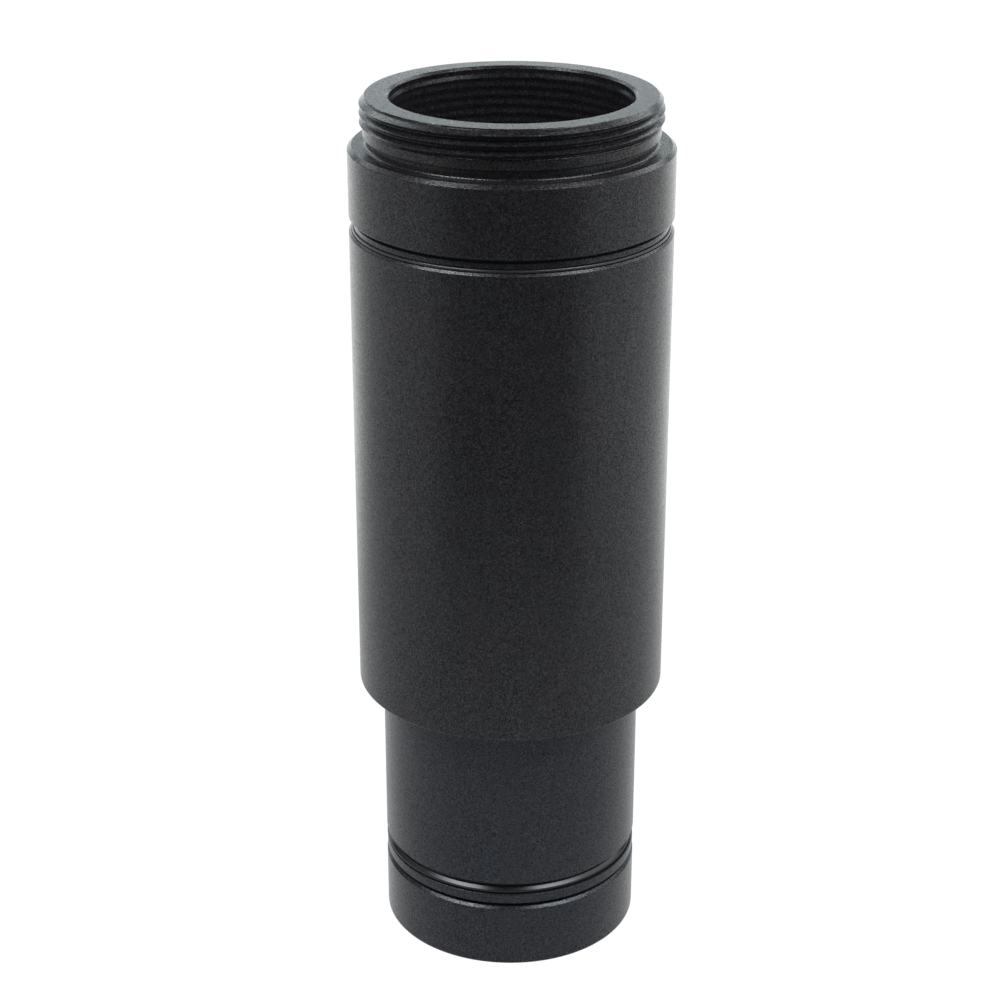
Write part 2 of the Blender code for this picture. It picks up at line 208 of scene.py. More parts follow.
def refine(path, steps, longest):
    """Rounds an outline's corners and splits its long straights. Threads pass through."""
    rounded = []
    for i, item in enumerate(path):
        before, after = path[i - 1], path[(i + 1) % len(path)]
        if has_thread(item):
            rounded.append(item)
        elif has_thread(before, after):
            rounded.append(item[:2])
        else:
            rounding = item[2] if len(item) > 2 else 0.0
            rounded += corner(before, item, after, rounding, steps)
    # points this close would leave a ring of faces without area
    kept = [
        item
        for i, item in enumerate(rounded)
        if has_thread(item, rounded[i - 1]) or distance(item, rounded[i - 1]) >= 0.003
    ]
    split = []
    for i, item in enumerate(kept):
        split.append(item)
        after = kept[(i + 1) % len(kept)]
        if has_thread(item, after):
            continue
        parts = int(distance(item, after) // longest) + 1
        for k in range(1, parts):
            t = k / parts
            split.append(tuple(item[c] + t * (after[c] - item[c]) for c in (0, 1)))
    return split


def zip_columns(left, right, rise, sign):
    """Faces between two columns of (vertex, height), joining marks `rise` higher on the right."""
    faces = []
    i = j = 0
    while i < len(left) - 1 or j < len(right) - 1:
        left_z = sign * (left[i + 1][1] + rise) if i + 1 < len(left) - 1 else math.inf
        right_z = sign * right[j + 1][1] if j + 1 < len(right) - 1 else math.inf
        if left_z == right_z or abs(left_z - right_z) < 0.004:
            faces.append((left[i][0], left[i + 1][0], right[j + 1][0], right[j][0]))
            i += 1
            j += 1
        elif left_z < right_z:
            faces.append((left[i][0], left[i + 1][0], right[j][0]))
            i += 1
        else:
            faces.append((left[i][0], right[j + 1][0], right[j][0]))
            j += 1
    return faces


def circle(radius, z, x=0.0):
    return [(radius * math.cos(a) + x, radius * math.sin(a), z) for a in ANGLES]


def turned(name, path, steps=4, x=0.0, longest=5.0):
    """A closed mesh of revolution about the vertical axis at x."""
    items = refine(path, steps, longest)
    verts, faces, rings = [], [], []
    for item in items:
        if has_thread(item):
            rings.append(None)
        else:
            rings.append(range(len(verts), len(verts) + SEG))
            verts += circle(*item, x)
    for k, item in enumerate(items):
        below = (k + 1) % len(items)
        if has_thread(item):
            columns = []
            for j, angle in enumerate(ANGLES):
                column = [(rings[k - 1][j], items[k - 1][1])]
                for z in item.column(angle):
                    radius = item.radius(angle, z)
                    column.append((len(verts), z))
                    verts.append((radius * math.cos(angle) + x, radius * math.sin(angle), z))
                column.append((rings[below][j], items[below][1]))
                columns.append(column)
            sign = 1 if item.end > item.start else -1
            for j in range(SEG):
                rise = item.pitch / SEG
                faces += zip_columns(columns[j], columns[(j + 1) % SEG], rise, sign)
        elif not has_thread(items[below]):
            a, b = rings[k], rings[below]
            for j in range(SEG):
                m = (j + 1) % SEG
                faces.append((a[j], b[j], b[m], a[m]))
    return finish_mesh(name, verts, faces)


def on_axis(name, upper, lower):
    """A solid that reaches the axis; both faces are (radius, z) from the axis to the rim."""
    verts = [(0.0, 0.0, upper[0][1])]
    faces = []
    above = None
    for radius, z in upper[1:] + lower[:0:-1]:
        ring = range(len(verts), len(verts) + SEG)
        verts += circle(radius, z)
        for j in range(SEG):
            m = (j + 1) % SEG
            if above is None:
                faces.append((0, ring[j], ring[m]))
            else:
                faces.append((above[j], ring[j], ring[m], above[m]))
        above = ring
    tip = len(verts)
    verts.append((0.0, 0.0, lower[0][1]))
    for j in range(SEG):
        faces.append((above[j], tip, above[(j + 1) % SEG]))
    return finish_mesh(name, verts, faces)


def map_edges(mesh):
    """Marks sharp edges, and stores each vertex's convexity (0.5 is flat) as `convex`."""
    mesh.set_sharp_from_angle(angle=SHARP_ANGLE)
    count = len(mesh.vertices)
    places = np.empty(count * 3)
    normals = np.empty(count * 3)
    ends = np.empty(len(mesh.edges) * 2, dtype=np.int64)
    mesh.vertices.foreach_get("co", places)
    mesh.vertices.foreach_get("normal", normals)
    mesh.edges.foreach_get("vertices", ends)
    places, normals = places.reshape(-1, 3), normals.reshape(-1, 3)
    a, b = ends.reshape(-1, 2).T

    def gather(at_a, at_b):
        """Sum over each vertex's edges: at_a where it is the first end, at_b the second."""
        first = np.bincount(a, weights=at_a, minlength=count)
        return first + np.bincount(b, weights=at_b, minlength=count)

    way = places[b] - places[a]
    way /= np.maximum(np.linalg.norm(way, axis=1, keepdims=True), 1e-12)
    neighbours = np.maximum(gather(None, None), 1)
    lean = np.zeros(count)
    for k in range(3):
        lean += normals[:, k] * gather(way[:, k], -way[:, k])
    value = np.arccos(np.clip(lean / neighbours, -1.0, 1.0)) / math.pi
    value = (value + gather(value[b], value[a])) / (neighbours + 1)
    old = mesh.attributes.get("convex")  # a boolean's result carries its source's
    if old:
        mesh.attributes.remove(old)
    mesh.attributes.new("convex", "FLOAT", "POINT").data.foreach_set("value", value)


def finish_mesh(name, verts, faces):
    mesh = bpy.data.meshes.new(name)
    mesh.from_pydata([tuple(c * MM for c in v) for v in verts], [], faces)
    mesh.validate()
    mesh.update()
    mesh.shade_smooth()
    map_edges(mesh)
    obj = bpy.data.objects.new(name, mesh)
    bpy.context.scene.collection.objects.link(obj)
    return obj


def cut_slots(obj, radius, face_z, angle, depth=0.55, width=1.2):
    """Cuts two opposite slots across a ring's face with one bar, and applies the cut."""
    bpy.ops.mesh.primitive_cube_add(size=1.0)
    bar = bpy.context.object
    bar.scale = (2.6 * radius * MM, width * MM, 2 * depth * MM)
    bar.location = (0, 0, face_z * MM)
    bar.rotation_euler = (0, 0, math.radians(angle))
    cut = obj.modifiers.new("slots", "BOOLEAN")
    cut.operation, cut.solver, cut.object = "DIFFERENCE", "EXACT", bar
    bpy.context.view_layer.update()
    graph = bpy.context.evaluated_depsgraph_get()
    mesh = bpy.data.meshes.new_from_object(obj.evaluated_get(graph))
    obj.modifiers.clear()
    obj.data = mesh
    map_edges(mesh)
    bpy.data.objects.remove(bar, do_unlink=True)


# ------------------------------------------------------------------ node helpers


class Graph:
    """A thin helper for building a node tree. Numbers and colours may stand for sockets."""

    def __init__(self, tree):
        self.tree = tree

    def add(self, kind, **props):
        node = self.tree.nodes.new(kind)
        for key, value in props.items():
            setattr(node, key, value)
        return node

    def feed(self, socket, value):
        """Sets a number or an RGB colour on an input, or links an output to it."""
        if isinstance(value, tuple):
            socket.default_value = (*value, 1.0)
        elif isinstance(value, (int, float)):
            socket.default_value = value
        else:
            self.tree.links.new(value, socket)

    def fill(self, node, inputs):
        for name, value in inputs.items():
            self.feed(node.inputs[name], value)
        return node

    def math(self, operation, *values, clamp=False):
        node = self.add("ShaderNodeMath", operation=operation, use_clamp=clamp)
        for socket, value in zip(node.inputs, values):
            self.feed(socket, value)
        return node.outputs[0]

    def scaled(self, value, gain, offset, clamp=False):
        return self.math("MULTIPLY_ADD", value, gain, offset, clamp=clamp)

    def total(self, values):
        out = values[0]
        for value in values[1:]:
            out = self.math("ADD", out, value)
        return out

    def ramp(self, value, low, high):
        """A smooth step from 0 at low to 1 at high."""
        node = self.add("ShaderNodeMapRange", interpolation_type="SMOOTHSTEP")
        return self.fill(node, {"Value": value, "From Min": low, "From Max": high}).outputs[0]

    def coords(self, kind="Object"):
        return self.add("ShaderNodeTexCoord").outputs[kind]

    def split(self, vector):
        node = self.add("ShaderNodeSeparateXYZ")
        self.feed(node.inputs[0], vector)
        return node.outputs

    def bearing(self, x, y):
        """Distance from the axis, and the cosine and sine of the direction."""
        reach = self.math("SQRT", self.math("MULTIPLY_ADD", x, x, self.math("MULTIPLY", y, y)))
        safe = self.math("MAXIMUM", reach, 0.0001)
        return reach, self.math("DIVIDE", x, safe), self.math("DIVIDE", y, safe)

    def noise(self, vector, scale, detail, roughness):
        node = self.add("ShaderNodeTexNoise")
        inputs = {"Scale": scale, "Detail": detail, "Roughness": roughness, "Vector": vector}
        return self.fill(node, inputs).outputs["Fac"]

    def mix(self, factor, a, b):
        node = self.add("ShaderNodeMix", data_type="RGBA")
        self.feed(node.inputs["Factor"], factor)
        for name, value in (("A", a), ("B", b)):
            socket = [s for s in node.inputs if s.name == name and s.type == "RGBA"][0]
            self.feed(socket, value)
        return [s for s in node.outputs if s.type == "RGBA"][0]

    def tool_marks(self, coord, lines):
        """A noise nearly constant round the axis, as a lathe tool leaves it."""
        x, y, z = self.split(coord)
        squares = self.math("MULTIPLY", x, x), self.math("MULTIPLY", y, y)
        radius = self.math("SQRT", self.math("ADD", *squares))
        sway = self.math("SINE", self.math("ARCTAN2", y, x))
        join = self.add("ShaderNodeCombineXYZ")
        self.feed(join.inputs[0], self.math("MULTIPLY", radius, lines))
        self.feed(join.inputs[1], self.math("MULTIPLY", sway, 0.6))
        self.feed(join.inputs[2], self.math("MULTIPLY", z, lines))
        return self.noise(join.outputs[0], scale=1.0, detail=3.0, roughness=0.6)

    def bump(self, height, strength, distance):
        """A relief normal; distance is in metres."""
        node = self.add("ShaderNodeBump")
        inputs = {"Strength": strength, "Distance": distance, "Height": height}
        return self.fill(node, inputs).outputs["Normal"]

    def camera_choice(self, unseen, seen, output):
        """Shows `seen` to the camera and `unseen` to every other ray."""
        choose = self.add("ShaderNodeMixShader")
        self.feed(choose.inputs[0], self.add("ShaderNodeLightPath").outputs["Is Camera Ray"])
        self.feed(choose.inputs[1], unseen.outputs[0])
        self.feed(choose.inputs[2], seen.outputs[0])
        self.feed(self.add(output).inputs["Surface"], choose.outputs[0])


class Principled(Graph):
    """A new material's node tree, built on its Principled shader."""

    def __init__(self, name):
        self.mat = bpy.data.materials.new(name)
        self.mat.use_nodes = True
        super().__init__(self.mat.node_tree)
        self.shader = self.tree.nodes["Principled BSDF"]

    def shade(self, inputs):
        self.fill(self.shader, inputs)


# ------------------------------------------------------------------ materials

# a faint painted glow: an emission on the surfaces that lifts the shade in deep grooves, so that
# they never read as pure black
PAINTED_GLOW = {"Emission Color": (0.90, 0.93, 1.0), "Emission Strength": 0.0020}

# pairs of specular tints that a slow noise drifts between
NEUTRAL = ((0.90, 0.985, 1.0), (1.0, 0.975, 0.995))
BLUE = ((0.76, 0.87, 1.0), (0.87, 0.90, 1.0))


def lift(colour, gain, offset=0.0):
    return tuple(min(1.0, c * gain + offset) for c in colour)


def anodised(name, base, rough=0.27, spec=0.25, grain=1.0, wear=0.16, tints=NEUTRAL):
    """Satin black anodised aluminium: blasted and turned, its edges a little rubbed."""
    n = Principled(name)
    coord = n.coords()
    marks = n.tool_marks(coord, lines=9000)
    blast = n.noise(coord, scale=7000, detail=3.0, roughness=0.65)
    speck = n.noise(coord, scale=2600, detail=2.0, roughness=0.55)
    cloud = n.noise(coord, scale=95, detail=4.0, roughness=0.55)
    hue = n.noise(coord, scale=210, detail=3.0, roughness=0.6)
    spark = n.noise(coord, scale=9500, detail=2.0, roughness=0.7)

    # colour: cloudy dark dye, fine speckle, paler where an edge is rubbed
    cloudy = n.scaled(cloud, gain=1.6, offset=-0.3, clamp=True)
    colour = n.mix(cloudy, lift(base, gain=0.55), lift(base, gain=1.8, offset=0.001))
    grains = n.scaled(speck, gain=3.2, offset=-1.35, clamp=True)
    pale = lift(base, gain=3.0, offset=0.006)
    colour = n.mix(n.math("MULTIPLY", grains, 0.35 * grain), colour, pale)
    bright = n.scaled(spark, gain=5.5, offset=-2.75, clamp=True)
    paler = lift(base, gain=4.0, offset=0.012)
    colour = n.mix(n.math("MULTIPLY", bright, 0.8 * grain), colour, paler)
    convex = n.add("ShaderNodeAttribute", attribute_name="convex").outputs["Fac"]
    edge = n.scaled(convex, gain=9.0, offset=-4.75, clamp=True)
    rub = n.math("MULTIPLY", edge, n.scaled(blast, gain=1.8, offset=-0.35, clamp=True))
    bare_metal = (0.17, 0.175, 0.18)
    colour = n.mix(n.math("MULTIPLY", rub, wear), colour, bare_metal)

    # roughness: broken up by cloud and speck, smoother on edges and on the end faces
    satin = n.scaled(cloud, gain=0.10, offset=rough - 0.05)
    satin = n.math("ADD", satin, n.scaled(speck, gain=0.16 * grain, offset=-0.08 * grain))
    satin = n.math("SUBTRACT", satin, n.math("MULTIPLY", edge, 0.06), clamp=True)
    normal = n.split(n.add("ShaderNodeNewGeometry").outputs["True Normal"])
    end_face = n.scaled(n.math("ABSOLUTE", normal[2]), gain=8.0, offset=-7.2, clamp=True)
    satin = n.math("MULTIPLY", satin, n.scaled(end_face, gain=-0.3, offset=1.0))

    # relief: blasted grain over the tool marks
    blasted = n.math("MULTIPLY", blast, 1.0 * grain)
    height = n.math("ADD", blasted, n.math("MULTIPLY", marks, 0.5))
    # sparkle: each facet throws back a little more or less
    facets = n.scaled(spark, gain=4.8 * grain, offset=1.0 - 2.4 * grain)
    n.shade({
        "Base Color": colour,
        "Roughness": satin,
        "Normal": n.bump(height, strength=0.6, distance=0.000012),
        "Specular IOR Level": n.math("MULTIPLY", n.math("MAXIMUM", facets, 0.1), spec),
        "Specular Tint": n.mix(n.scaled(hue, gain=2.4, offset=-0.7, clamp=True), *tints),
        # painted glow: a faint emission that lifts the shade in grooves
        **PAINTED_GLOW,
    })
    return n.mat


def matt_black(name, base, rough):
    """Flat black paint, a little dusty."""
    n = Principled(name)
    coord = n.coords()
    marks = n.tool_marks(coord, lines=5000)
    dust = n.noise(coord, scale=1500, detail=5.0, roughness=0.7)
    dusty = n.scaled(dust, gain=1.6, offset=-0.45, clamp=True)
    n.shade({
        "Base Color": n.mix(dusty, base, lift(base, gain=2.4, offset=0.004)),
        "Roughness": n.scaled(dust, gain=0.2, offset=rough - 0.1),
        "Normal": n.bump(n.math("ADD", dust, marks), strength=0.5, distance=0.00002),
        "Specular IOR Level": 0.2,
    })
    return n.mat


def rubber(name, base, rough, spec=0.5):
    """Moulded black rubber or nylon: smooth, with a faint grain and a dry bloom."""
    n = Principled(name)
    coord = n.coords()
    bloom = n.noise(coord, scale=420, detail=4.0, roughness=0.6)
    fine = n.noise(coord, scale=9000, detail=2.0, roughness=0.5)
    bloomed = n.scaled(bloom, gain=1.4, offset=-0.35, clamp=True)
    n.shade({
        "Base Color": n.mix(bloomed, base, lift(base, gain=1.7, offset=0.003)),
        "Roughness": n.scaled(bloom, gain=0.14, offset=rough - 0.07),
        "Normal": n.bump(fine, strength=0.15, distance=0.000008),
        "Specular IOR Level": spec,
        "Specular Tint": (0.91, 0.965, 1.0),
        # painted glow: a faint emission that lifts the shade in grooves
        **PAINTED_GLOW,
    })
    return n.mat


def coated_glass(name, tint, ior, film_nm):
    """Polished glass with a thin anti-reflection film and a trace of dust."""
    n = Principled(name)
    dust = n.noise(n.coords(), scale=900, detail=6.0, roughness=0.75)
    dusty = n.scaled(dust, gain=1.2, offset=-0.5, clamp=True)
    n.shade({
        "Base Color": n.mix(dusty, tint, lift(tint, gain=0.97)),
        "Roughness": n.scaled(dust, gain=0.03, offset=-0.008, clamp=True),
        "Transmission Weight": 1.0,
        "IOR": ior,
        "Thin Film Thickness": film_nm,
        "Thin Film IOR": 1.38,
    })
    return n.mat


MAT = {
    "head": anodised(
        "head_black_anodised", base=(0.0020, 0.0019, 0.0026), rough=0.26, grain=1.25, wear=0.06
    ),
    "barrel": anodised("barrel_black_anodised", base=(0.0026, 0.0025, 0.0033), grain=1.2),
    "nose": anodised(
        "nose_black_anodised",
        base=(0.0026, 0.0028, 0.0040), rough=0.28, spec=0.27, grain=1.12, tints=BLUE,
    ),
    "cell": anodised(
        "cell_black_anodised", base=(0.0026, 0.0029, 0.0040), grain=1.12, tints=BLUE
    ),
    "lock": anodised(
        "lock_ring_black_anodised",
        base=(0.0036, 0.0036, 0.0045), rough=0.28, wear=0.25, tints=BLUE,
    ),
    "keeper": anodised(
        "keeper_black_anodised", base=(0.0034, 0.0034, 0.0042), rough=0.40, wear=0.25
    ),
    "stop": matt_black("stop_ring_matt_black", base=(0.006, 0.006, 0.007), rough=0.7),
    "baffle": matt_black("baffle_matt_black", base=(0.004, 0.004, 0.005), rough=0.85),
    "spacer": matt_black("spacer_matt_black", base=(0.005, 0.005, 0.006), rough=0.85),
    "friction": rubber(
        "friction_ring_gloss_black", base=(0.0045, 0.0045, 0.0055), rough=0.22, spec=0.27
    ),
    "washer": rubber("washer_dark_nylon", base=(0.010, 0.010, 0.012), rough=0.26),
    "seat": rubber("lens_seat_black", base=(0.006, 0.006, 0.007), rough=0.60),
    "edge_ink": matt_black("lens_edge_ink", base=(0.004, 0.004, 0.004), rough=0.6),
    "crown": coated_glass(
        "crown_glass_coated", tint=(0.985, 1.0, 0.992), ior=1.517, film_nm=118.0
    ),
    "flint": coated_glass(
        "flint_glass_coated", tint=(0.992, 0.998, 0.985), ior=1.648, film_nm=132.0
    ),
}


def coat(obj, *materials):
    obj.data.materials.clear()
    for material in materials:
        obj.data.materials.append(MAT[material])


def mount(obj, body, node):
    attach(obj, body)
    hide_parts(node)


def place(obj, body, node, material):
    coat(obj, material)
    mount(obj, body, node)


def flat_ring(piece, bore, roundings):
    """A plain ring's outline; roundings run inner top, outer top, outer bottom, inner bottom."""
    corners = (
        (bore, piece.high), (piece.radius, piece.high), (piece.radius, piece.low), (bore, piece.low)
    )
    return [(*point, rounding) for point, rounding in zip(corners, roundings)]


def ribs(radius, low, high, depth, pitch=0.8):
    """A sawtooth of light-trap ribs cut up a bore, from low to high."""
    count = int((high - low) / pitch)
    out = []
    for i in range(count):
        z = low + i * pitch
        out += [(radius, z), (radius, z + 0.10 * pitch), (radius + depth, z + 0.16 * pitch)]
    out.append((radius, low + count * pitch))
    return out


# ------------------------------------------------------------------ camera head
BODY_R = HEAD.radius  # shared with the barrel
TOP = HEAD.high
SHOULDER = TOP - 4.15  # foot of the camera thread's neck
COLLAR_LOW = SHOULDER - 6.10
STEP = COLLAR_LOW - 0.80  # the spigot starts below this face
GROOVE_R = BODY_R - 0.62  # groove under the collar
FOOT_R = BODY_R - 0.40
BEVEL_R = 12.20  # rim of the top face
LAND_R = 12.45  # plain land under the camera thread
LAND_TOP = SHOULDER + 1.62
RELIEF_R = 12.15
HEAD_BORE_R = 10.20
MOUTH_R = 10.23  # plain lip of the mouth
MOUTH_CREST_R = 10.07
LEDGE = TOP - 0.70  # the lip ends here and the mouth's thread starts below

FINE_PITCH = 0.75
SPIGOT_CREST_Z = STEP - 0.3  # shared by the spigot and the barrel's thread

camera_thread = Thread(
    pitch=25.4 / 32, crest_z=TOP - 0.65, crest=12.70, root=12.22,
    start=TOP - 0.035, end=LAND_TOP, marks=FINE_MARKS,
    trims=(lead_in(BEVEL_R, TOP), fade_out(LAND_R, LAND_TOP)),
)
spigot_thread = Thread(
    pitch=FINE_PITCH, crest_z=SPIGOT_CREST_Z, crest=12.05, root=11.60,
    start=STEP - 0.66, end=HEAD.low + 0.40,
)
mouth_thread = Thread(
    pitch=0.79, crest_z=LEDGE - 0.80, crest=MOUTH_CREST_R, root=10.13,
    start=HEAD.low + 4.6, end=LEDGE - 0.34, marks=FINE_MARKS,
)
head_outline = [
    # top face
    (11.30, TOP), (11.80, TOP), (12.05, TOP), (12.16, TOP), (BEVEL_R, TOP),
    camera_thread,
    # land, relief and shoulder
    (LAND_R, SHOULDER + 1.58),
    (LAND_R, SHOULDER + 0.86, 0.05),
    (RELIEF_R, SHOULDER + 0.74, 0.06),
    (RELIEF_R, SHOULDER - 0.05, 0.27),
    (12.74, SHOULDER - 0.05, 0.02),
    (12.79, SHOULDER, 0.02),
    # collar, groove and foot
    (BODY_R - 0.35, SHOULDER, 0.03),
    (BODY_R, SHOULDER - 0.315, 0.04),
    (BODY_R, COLLAR_LOW + 0.10, 0.08),
    (GROOVE_R, COLLAR_LOW + 0.10, 0.05),
    (GROOVE_R, COLLAR_LOW - 0.19, 0.05),
    (FOOT_R, COLLAR_LOW - 0.33, 0.06),
    (FOOT_R, STEP, 0.05),
    # spigot
    (11.85, STEP, 0.05),
    (11.70, STEP - 0.62),
    spigot_thread,
    (11.68, HEAD.low + 0.36),
    (11.60, HEAD.low, 0.05),
    # bore and mouth
    (10.25, HEAD.low, 0.05),
    (HEAD_BORE_R, HEAD.low + 4.3, 0.05),
    (HEAD_BORE_R, HEAD.low + 4.5),
    mouth_thread,
    (MOUTH_CREST_R, LEDGE - 0.27),
    (MOUTH_CREST_R + 0.015, LEDGE - 0.22),
    (MOUTH_R - 0.02, LEDGE + 0.04),
    (MOUTH_R, LEDGE + 0.10),
    (MOUTH_R, TOP - 0.40),
    (MOUTH_R, TOP - 0.22, 0.03),
    (MOUTH_R + 0.22, TOP, 0.03),
    (10.80, TOP),
]
head = turned("camera_head_turned", head_outline, longest=4.0)
place(head, "head", "camera_head", "head")

# stop ring: its outline runs the other way, down the bore and up the outside
stop_outline = [
    (STOP.radius, STOP.high, 0.05),
    (8.95, STOP.high, 0.04),
    (8.50, STOP.low, 0.03),
    (STOP.radius, STOP.low, 0.04),
]
stop = turned("head_stop_ring_turned", stop_outline)
cut_slots(stop, STOP.radius, STOP.high, angle=30.0)
place(stop, "head", "head_stop_ring", "stop")

washer_outline = flat_ring(WASHER, bore=12.20, roundings=(0.03, 0.16, 0.06, 0.03))
washer = turned("head_friction_washer_moulded", washer_outline)
place(washer, "head_washer", "head_friction_washer", "washer")

# ------------------------------------------------------------------ main barrel
BARREL_BORE_R = 12.20  # upper bore, round the spigot
NOSE_SOCKET_R = 11.37
BARREL_MOUTH_R = 11.68
BARREL_THREAD_LOW = BARREL.high - 5.9

barrel_thread = Thread(
    pitch=FINE_PITCH, crest_z=SPIGOT_CREST_Z, crest=12.13, root=12.55,
    start=BARREL_THREAD_LOW, end=BARREL.high - 0.45,
    trims=(bore_end(BARREL_BORE_R, BARREL_THREAD_LOW),),
)
barrel_outline = [
    (BODY_R - 0.20, BARREL.high, 0.03),
    (BODY_R, BARREL.high - 0.20, 0.04),
    (BODY_R, BARREL.low, 0.10),
    (11.74, BARREL.low),
    (BARREL_MOUTH_R, BARREL.low + 0.06),
    (BARREL_MOUTH_R, BARREL.low + 0.85),
    (NOSE_SOCKET_R, BARREL.low + 0.85),
    (NOSE_SOCKET_R, NOSE.high + 0.10, 0.03),
    (BARREL_BORE_R, NOSE.high + 0.10, 0.05),
    (BARREL_BORE_R, BARREL.high - 6.0),
    (BARREL_BORE_R, BARREL.high - 5.92),
    barrel_thread,
    (BARREL_BORE_R, BARREL.high - 0.40),
    (12.50, BARREL.high, 0.04),
]
barrel = turned("main_barrel_turned", barrel_outline, longest=3.0)
place(barrel, "tube", "main_barrel", "barrel")

# ------------------------------------------------------------------ nose tube
CELL_CREST_Z = CELL.high - 0.5  # shared by the nose's and the end cell's threads
NOSE_NECK_R = 11.30  # the part inside the barrel
NOSE_NECK_LOW = BARREL.low + 0.81
NOSE_BORE_R = 10.00
NOSE_RELIEF_R = 10.75  # plain bore above the thread
NOSE_THREAD_HIGH = NOSE.low + 4.9
NOSE_LIP_R = NOSE.radius - 0.42

nose_thread = Thread(
    pitch=FINE_PITCH, crest_z=CELL_CREST_Z, crest=10.72, root=11.12,
    start=NOSE.low + 0.22, end=NOSE_THREAD_HIGH,
    trims=(countersink(11.0, NOSE.low), bore_end(NOSE_RELIEF_R, NOSE_THREAD_HIGH)),
)
nose_outline = [
    (11.02, NOSE.high, 0.04),
    (NOSE_NECK_R, NOSE.high - 0.28, 0.04),
    (NOSE_NECK_R, NOSE_NECK_LOW),
    (NOSE.radius, NOSE_NECK_LOW, 0.03),
    (NOSE.radius, NOSE.low + 0.34, 0.05),
    (NOSE_LIP_R, NOSE.low + 0.34, 0.02),
    (NOSE_LIP_R, NOSE.low, 0.02),
    (11.02, NOSE.low, 0.03),
    (10.84, NOSE.low + 0.2),
    nose_thread,
    (NOSE_RELIEF_R, NOSE.low + 4.95),
    (NOSE_RELIEF_R, NOSE.low + 5.15, 0.03),
    (NOSE_BORE_R, NOSE.low + 5.15, 0.05),
    *ribs(NOSE_BORE_R, NOSE.low + 6.0, NOSE.high - 0.8, depth=0.28),
    (NOSE_BORE_R, NOSE.high, 0.05),
]
nose = turned("nose_tube_turned", nose_outline, longest=3.0)
place(nose, "tube", "nose_tube", "nose")

# ------------------------------------------------------------------ baffles and spacers


def add_baffle(node, hole, land=0.08, bevel=1.1):
    """A disc whose hole is bevelled from both sides to a narrow land at mid height."""
    low, high, radius, _ = span(node)
    middle = (low + high) / 2
    outline = [
        (radius, high, 0.05),
        (radius, low, 0.05),
        (hole + bevel, low, 0.05),
        (hole, middle - land, 0.02),
        (hole, middle + land, 0.02),
        (hole + bevel, high, 0.05),
    ]
    place(turned(node + "_turned", outline), "tube", node, "baffle")


def add_spacer(node, wall=0.65):
    """A thin tube with a ribbed bore."""
    low, high, radius, _ = span(node)
    bore = radius - wall
    outline = [
        (radius, high, 0.05),
        (radius, low, 0.05),
        (bore, low, 0.04),
        *ribs(bore, low + 0.7, high - 0.7, depth=0.25),
        (bore, high, 0.04),
    ]
    place(turned(node + "_turned", outline), "tube", node, "spacer")


add_baffle("lower_baffle", hole=9.0)
add_baffle("upper_baffle", hole=9.2)
add_spacer("lower_spacer_tube")
add_spacer("upper_spacer_tube")

# ------------------------------------------------------------------ rings at the nose's mouth
RING_R = FRICTION.radius
friction_outline = [
    (RING_R - 0.62, FRICTION.high, 0.05),
    (RING_R - 0.46, FRICTION.high, 0.03),
    (RING_R - 0.42, FRICTION.high - 0.13, 0.04),
    (RING_R - 0.29, FRICTION.high - 0.14, 0.08),
    (RING_R, FRICTION.high - 0.43, 0.13),
    (RING_R, FRICTION.low + 0.20, 0.08),
    (RING_R - 0.20, FRICTION.low, 0.05),
    (RING_R - 0.62, FRICTION.low, 0.05),
]
friction = turned("cell_friction_ring_moulded", friction_outline, steps=8, x=FRICTION.axis_x)
place(friction, "friction_ring", "cell_friction_ring", "friction")

lock_outline = flat_ring(LOCK, bore=10.77, roundings=(0.05, 0.06, 0.09, 0.05))
lock = turned("cell_lock_ring_turned", lock_outline, steps=5)
place(lock, "lock_ring", "cell_lock_ring", "lock")

# ------------------------------------------------------------------ end cell
CELL_SHOULDER = LOCK.low - 0.40
CELL_NECK_R = 10.30
CELL_UPPER_BORE_R = 8.90
CELL_BORE_R = 9.86
CELL_LEDGE = SEAT.high + 0.04  # inner ledge above the lens seat

cell_thread = Thread(
    pitch=FINE_PITCH, crest_z=CELL_CREST_Z, crest=10.65, root=10.26,
    start=CELL.high - 0.22, end=CELL_SHOULDER + 0.75,
)
cell_outline = [
    (CELL_UPPER_BORE_R, CELL.high, 0.05),
    (10.33, CELL.high, 0.05),
    (10.45, CELL.high - 0.18),
    cell_thread,
    (CELL_NECK_R, CELL_SHOULDER + 0.70),
    (CELL_NECK_R, CELL_SHOULDER, 0.10),
    (CELL.radius - 0.24, CELL_SHOULDER, 0.05),
    (CELL.radius, CELL_SHOULDER - 0.24, 0.06),
    (CELL.radius, CELL.low, 0.26),
    (10.12, CELL.low, 0.06),
    (CELL_BORE_R, CELL.low + 0.26, 0.04),
    (CELL_BORE_R, CELL_LEDGE, 0.03),
    (CELL_UPPER_BORE_R, CELL_LEDGE, 0.05),
]
cell = turned("end_cell_turned", cell_outline, longest=2.5)
place(cell, "cell", "end_cell", "cell")

keeper_outline = [
    (KEEPER.radius, KEEPER.high, 0.05),
    (KEEPER.radius, KEEPER.low, 0.05),
    (9.15, KEEPER.low, 0.05),
    (8.70, KEEPER.high, 0.03),
]
keeper = turned("lens_retaining_ring_turned", keeper_outline)
cut_slots(keeper, KEEPER.radius, KEEPER.low, angle=20.0)
place(keeper, "cell", "lens_retaining_ring", "keeper")

seat_outline = flat_ring(SEAT, bore=8.93, roundings=(0.06, 0.10, 0.10, 0.06))
seat = turned("lens_seat_ring_moulded", seat_outline)
place(seat, "cell", "lens_seat_ring", "seat")

# ------------------------------------------------------------------ glass
GLASS_R = CROWN.radius
POLISHED_R = GLASS_R - 0.12  # the ground bevel lies outside this
BEVEL_HEIGHT = 0.10
LOWER_RHO, CEMENT_RHO, UPPER_RHO = 62.0, 41.0, 118.0  # radii of curvature


def sag(rho, radius=GLASS_R):
    """Depth of a spherical face of curvature radius rho, out to a radius."""
    return rho - math.sqrt(rho * rho - radius * radius)


